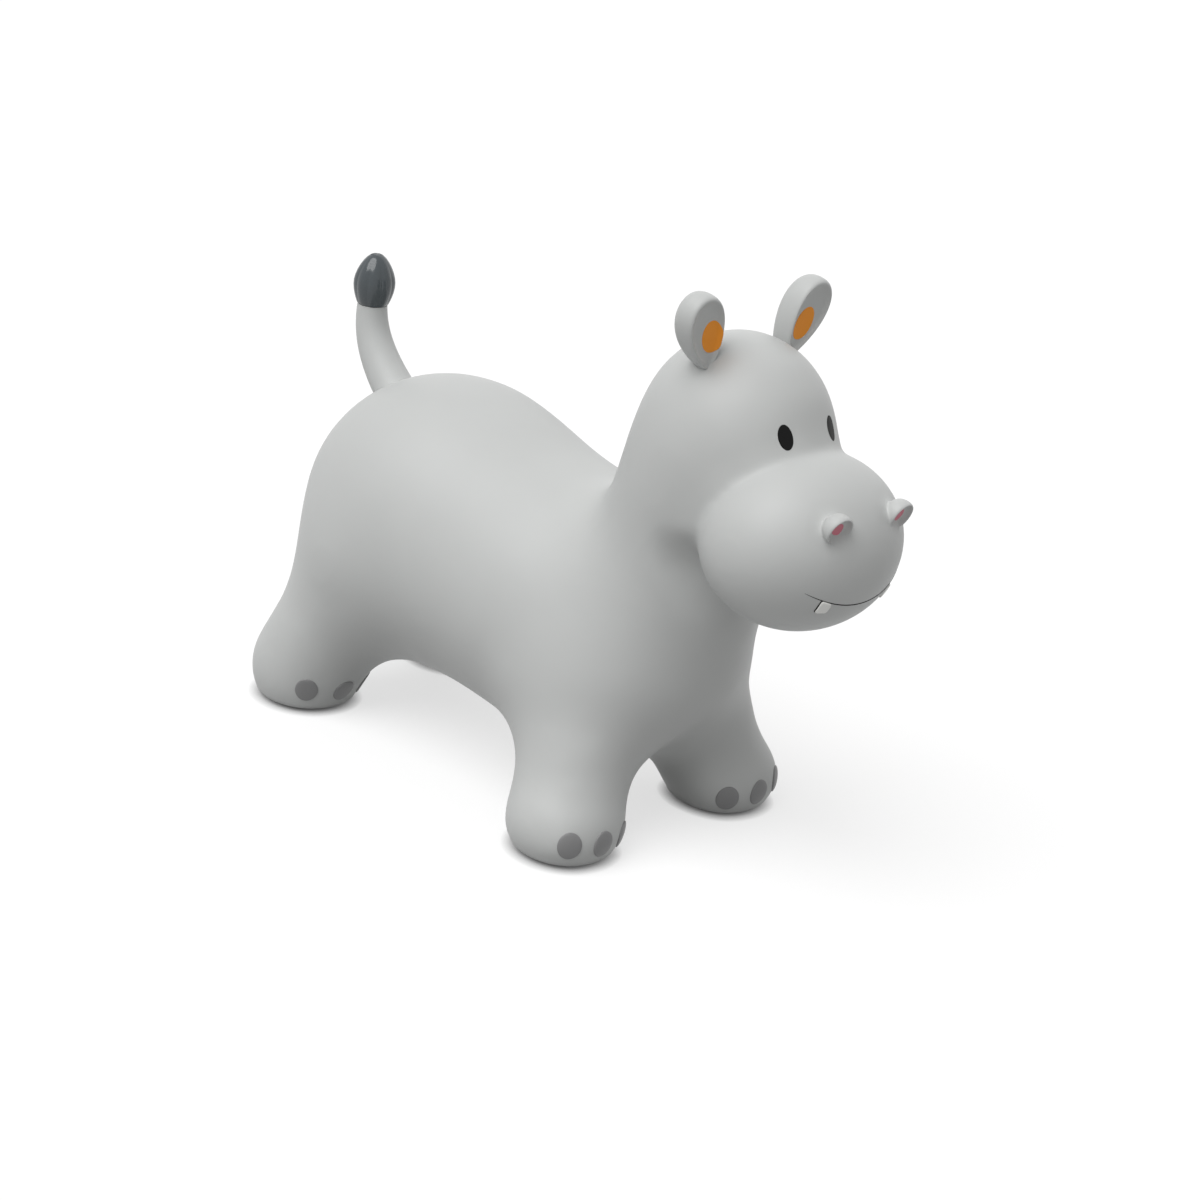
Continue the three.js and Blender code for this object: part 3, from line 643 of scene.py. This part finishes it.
# Tail: a tapering round stalk of vinyl that rises off the rump and leans back, moulded with the
# skin. Its end is a tuft, swollen like a bud, fluted lengthwise and sprayed glossy slate.
TAIL_ROOT_R = 0.019
TAIL_R = 0.0133
TAIL_ROOT_X = -0.2495
TAIL_SINK = 0.016
TAIL_BEND = 0.6
TAIL_ROUNDNESS = 10
TAIL_RINGS = 40
BUD_SLATE = (0.062, 0.075, 0.083, 1)
BUD_R = 0.0185
BUD_BASE_R = 0.0136
BUD_BASE_STEPS = ((0.9 * BUD_BASE_R, 0), (BUD_BASE_R, 0.0003), (BUD_BASE_R + 0.0008, 0.002))
BUD_STEPS = ((0.90, 0.17), (1.01, 0.38), (0.96, 0.56), (0.76, 0.76), (0.46, 0.925), (0.18, 0.995))
BUD_FLUTES = 9
BUD_FLUTE_DEEP = 0.05
BUD_FLUTE_LEVEL = 0.6
BUD_FLUTE_START = 0.1
BUD_SIDES = 72

bud_low, bud_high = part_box("tail_tip")
bud_middle = (bud_low + bud_high) / 2
bud_long = bud_high.z - bud_low.z
tail_top = Vector((bud_middle.x, 0, bud_low.z))
_, tail_root, _, _ = skin.ray_cast(Vector((TAIL_ROOT_X, 0, cad_box[1].z)), -UP)
tail_bow = Vector((tail_top.x, 0, tail_top.z - TAIL_BEND * (tail_top.z - tail_root.z)))
tail_heading = (tail_bow - tail_root).normalized()
bpy.ops.object.select_all(action="DESELECT")
bpy.ops.curve.primitive_bezier_curve_add()
tail = bpy.context.object
tail.name = "vinyl_tail"
tail.data.bevel_depth = TAIL_R
tail.data.bevel_resolution = TAIL_ROUNDNESS
tail.data.resolution_u = TAIL_RINGS
tail.data.use_fill_caps = True
first, last = tail.data.splines[0].bezier_points
for point in (first, last):
    point.handle_left_type = "FREE"
    point.handle_right_type = "FREE"
first.co = tail_root - tail_heading * TAIL_SINK
first.handle_right = tail_root.lerp(tail_bow, 2 / 3)
first.handle_left = first.co - tail_heading * TAIL_SINK
first.radius = TAIL_ROOT_R / TAIL_R
last.co = tail_top
last.handle_left = tail_top.lerp(tail_bow, 2 / 3)
last.handle_right = tail_top + UP * TAIL_SINK
last.radius = 1
bpy.ops.object.convert(target="MESH")
tail = bpy.context.object
edit(tail)
bpy.ops.mesh.remove_doubles(threshold=WELD)
bpy.ops.mesh.normals_make_consistent(inside=False)
done()
only(tail)
bpy.ops.object.shade_smooth_by_angle(angle=SHARP_ANGLE)
dress(tail, grey_vinyl, "grey_vinyl", "hippo", "tail")

bud = stacked("slate_bud", circle(BUD_SIDES), [
    *BUD_BASE_STEPS,
    *((BUD_R * share, bud_long * rise) for share, rise in BUD_STEPS),
])
round_off(bud, 1)
for vertex in bud.data.vertices:
    share = min(max(vertex.co.z / bud_long, 0), 1)
    turn = Vector((vertex.co.x, vertex.co.y)).angle_signed(Vector((1, 0)), 0)
    ridge = abs(cos(BUD_FLUTES * turn / 2)) - BUD_FLUTE_LEVEL
    fade = sin(pi * (BUD_FLUTE_START + (1 - BUD_FLUTE_START) * share))
    swell = 1 + BUD_FLUTE_DEEP * ridge * fade
    vertex.co.x *= swell
    vertex.co.y *= swell
bud.data.transform(Matrix.Translation(tail_top))
slate_paint = finish("slate_paint", BUD_SLATE, roughness=0.16, tone=0.1, spread=0.04)
dress(bud, slate_paint, "slate_paint", "hippo", "tail_tip")

# Eyes: two upright ovals sprayed black through a mask on the front of the head, close above the
# muzzle. The paint is thin and nearly matt, and follows the skin.
EYE_BLACK = (0.008, 0.008, 0.008, 1)
EYE_WIDE = 0.0125
EYE_TALL = 0.020
EYE_LEAN = radians(13)


def on_skin(node):
    """Frame on the skin nearest to a node, upright and facing out."""
    _, point, normal, _ = skin.closest_point_on_mesh(middle_of(node))
    return stood(point, UP, normal)


black_paint = finish("black_paint", EYE_BLACK, roughness=0.5, tone=0.1, gloss=0.1)
eye_form = lens("eye_form", EYE_WIDE, EYE_TALL, PAINT_THICK, flatness=3)
for hand, side in HANDS:
    eye = copy_of(eye_form, f"black_eye_{hand}")
    lay_on(eye, skin, on_skin(f"eye_{hand}") @ Matrix.Rotation(-side * EYE_LEAN, 4, "Z"))
    dress(eye, black_paint, "black_paint", "hippo", f"eye_{hand}")
bpy.data.objects.remove(eye_form)

# Nostril marks: a pink oval sprayed through a mask into the dish of each nostril, where it
# follows the vinyl.
MARK_PINK = (0.62, 0.16, 0.22, 1)
MARK_WIDE = 0.0108
MARK_TALL = 0.0104

pink_paint = finish("pink_paint", MARK_PINK, roughness=0.45, tone=0.1)
mark_form = lens("mark_form", MARK_WIDE, MARK_TALL, PAINT_THICK, flatness=3)
for hand, opening in openings.items():
    mark = copy_of(mark_form, f"pink_mark_{hand}")
    lay_on(mark, skin, opening)
    dress(mark, pink_paint, "pink_paint", "hippo", f"nostril_mark_{hand}")
bpy.data.objects.remove(mark_form)

# Teeth: two small square tabs that hang under the two sides of the smile, moulded a little proud
# of the muzzle and sprayed white.
TOOTH_WHITE = (0.86, 0.86, 0.83, 1)
TOOTH_WIDE = 0.009
TOOTH_TALL = 0.010
TOOTH_THICK = 0.0014
TOOTH_STEPS = ((0.5, -1), (1, -1), (1, 0.5), (0.96, 0.85), (0.88, 1), (0.6, 1), (0.3, 1))
TOOTH_SLOPE = 0.35
TOOTH_SQUARE = 0.35
TOOTH_SIDES = 40


def squared(wave):
    """A sine or cosine pushed out toward 1 or -1, so that a round outline becomes squarish."""
    return copysign(abs(wave) ** TOOTH_SQUARE, wave)


def tab(slope):
    """Rounded square of a tooth's size, whose top follows the smile's slope."""
    outline = []
    for turn in turns(TOOTH_SIDES):
        x = squared(cos(turn)) * TOOTH_WIDE / 2
        y = squared(sin(turn)) / 2
        outline.append((x, y * TOOTH_TALL + max(y, 0) * 2 * slope * x))
    return outline


white_paint = finish("white_paint", TOOTH_WHITE, roughness=0.4, tone=0.02)
tooth_profile = [(share, TOOTH_THICK * rise) for share, rise in TOOTH_STEPS]
tooth_frames = {}
for hand, side in HANDS:
    tooth = stacked(f"white_tooth_{hand}", tab(side * TOOTH_SLOPE), tooth_profile)
    tooth_frames[hand] = stood(middle_of(f"tooth_{hand}"), UP, AHEAD)
    lay_on(tooth, skin, tooth_frames[hand])
    dress(tooth, white_paint, "white_paint", "hippo", f"tooth_{hand}")

# Smile: a thin line brushed in black across the front of the muzzle, curling up at both ends,
# and brushed down the outer edge of each tooth.
MOUTH_WIDE = 0.108
MOUTH_CURL = 0.014
MOUTH_LINE = 0.0009
EDGE_LINE = 0.0007
EDGE_STEPS = ((0.5, -1), (1.04, -1), (1.04, 1), (0.5, 1))

mouth_low, mouth_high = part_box("mouth_line")
smile = lens("black_smile", MOUTH_WIDE, MOUTH_LINE, PAINT_THICK)
for vertex in smile.data.vertices:
    vertex.co.y += MOUTH_CURL * (2 * vertex.co.x / MOUTH_WIDE) ** 2
lay_on(smile, skin, stood(Vector((mouth_high.x, 0, mouth_low.z + MOUTH_LINE / 2)), UP, AHEAD))
edge_profile = [(share, PAINT_THICK * rise) for share, rise in EDGE_STEPS]
edges = []
for hand, side in HANDS:
    edge = stacked(f"tooth_edge_{hand}", tab(side * TOOTH_SLOPE), edge_profile)
    lay_on(edge, skin, tooth_frames[hand] @ Matrix.Translation((side * EDGE_LINE, EDGE_LINE / 2, 0)))
    edges.append(edge)
only(smile)
for edge in edges:
    edge.select_set(True)
bpy.ops.object.join()
dress(smile, black_paint, "black_paint", "hippo", "mouth_line")

# Toenails: three low ovals side by side on the front of each foot, moulded slightly proud of the
# vinyl and sprayed dark grey.
NAIL_GREY = (0.22, 0.22, 0.222, 1)
NAIL_WIDE = 0.020
NAIL_TALL = 0.023
NAIL_RISE = 0.0014

nail_paint = finish("nail_paint", NAIL_GREY, roughness=0.42, tone=0.06)
nail_form = lens("nail_form", NAIL_WIDE, NAIL_TALL, NAIL_RISE)
for node in sorted(name for name in frame["nodes"] if name.startswith("toenail_")):
    nail = copy_of(nail_form, node.replace("toenail", "grey_nail"))
    lay_on(nail, skin, on_skin(node))
    dress(nail, nail_paint, "nail_paint", "hippo", node)
bpy.data.objects.remove(nail_form)

# Studio: a wide pale paper floor that is clear from below, glows evenly to the camera and has a
# painted contact shadow where the feet touch it, one large soft lamp from the camera's upper left, a
# weak low one from behind, and a pale room.
WHITE = (1, 1, 1, 1)
FLOOR_WIDE = 60
FLOOR_PALE = (0.37, 0.37, 0.37, 1)
FLOOR_ROUGHNESS = 0.9
FLOOR_LIFT = 0.66
# Reach and samples of the painted contact shadow: an occlusion mask that dims the floor's glow close
# to the feet.
CONTACT_SHADE_REACH = 0.010
CONTACT_SHADE_SAMPLES = 8
LAMPS = (
    ("key", (radians(33), 0, radians(-5)), radians(50), 2.25),
    ("fill", (radians(65), 0, radians(195)), radians(80), 0.5),
)
ROOM_STRENGTH = 0.38


def seen_rays(tree):
    """One for rays that show a surface to the camera, directly or in a reflection or through glass."""
    path = tree.nodes.new("ShaderNodeLightPath")
    total = path.outputs["Is Camera Ray"]
    for kind in ("Is Glossy Ray", "Is Transmission Ray"):
        larger = tree.nodes.new("ShaderNodeMath")
        larger.operation = "MAXIMUM"
        tree.links.new(total, larger.inputs[0])
        tree.links.new(path.outputs[kind], larger.inputs[1])
        total = larger.outputs[0]
    return total


bpy.ops.object.select_all(action="DESELECT")
bpy.ops.mesh.primitive_plane_add(size=FLOOR_WIDE)
floor = bpy.context.object
floor.name = "floor"
paper = bpy.data.materials.new("floor_paper")
paper.use_nodes = True
nodes = paper.node_tree.nodes
links = paper.node_tree.links
shader = nodes["Principled BSDF"]
shader.inputs["Base Color"].default_value = FLOOR_PALE
shader.inputs["Roughness"].default_value = FLOOR_ROUGHNESS
shader.inputs["Specular IOR Level"].default_value = 0
shader.inputs["Emission Color"].default_value = WHITE
lift = nodes.new("ShaderNodeMath")
lift.operation = "MULTIPLY"
lift.inputs[1].default_value = FLOOR_LIFT
links.new(seen_rays(paper.node_tree), lift.inputs[0])
# Painted contact shadow: the floor's glow to the camera is multiplied by an occlusion mask, so it dims
# close under the feet.
contact_shade = nodes.new("ShaderNodeAmbientOcclusion")
contact_shade.samples = CONTACT_SHADE_SAMPLES
contact_shade.inputs["Distance"].default_value = CONTACT_SHADE_REACH
shaded_lift = nodes.new("ShaderNodeMath")
shaded_lift.operation = "MULTIPLY"
links.new(lift.outputs[0], shaded_lift.inputs[0])
links.new(contact_shade.outputs["AO"], shaded_lift.inputs[1])
links.new(shaded_lift.outputs[0], shader.inputs["Emission Strength"])
side_seen = nodes.new("ShaderNodeNewGeometry")
clear = nodes.new("ShaderNodeBsdfTransparent")
open_below = nodes.new("ShaderNodeMixShader")
links.new(side_seen.outputs["Backfacing"], open_below.inputs["Fac"])
links.new(shader.outputs[0], open_below.inputs[1])
links.new(clear.outputs[0], open_below.inputs[2])
links.new(open_below.outputs[0], nodes["Material Output"].inputs["Surface"])
floor.data.materials.append(paper)

for name, turn, spread, strength in LAMPS:
    lamp = bpy.data.objects.new(name, bpy.data.lights.new(name, "SUN"))
    lamp.data.energy = strength
    lamp.data.angle = spread
    lamp.rotation_euler = turn
    scene.collection.objects.link(lamp)

room = bpy.data.worlds.new("room")
room.use_nodes = True
backdrop = room.node_tree.nodes["Background"]
backdrop.inputs["Color"].default_value = WHITE
level = room.node_tree.nodes.new("ShaderNodeMath")
level.operation = "MULTIPLY_ADD"
level.inputs[1].default_value = 1 - ROOM_STRENGTH
level.inputs[2].default_value = ROOM_STRENGTH
room.node_tree.links.new(seen_rays(room.node_tree), level.inputs[0])
room.node_tree.links.new(level.outputs[0], backdrop.inputs["Strength"])
scene.world = room
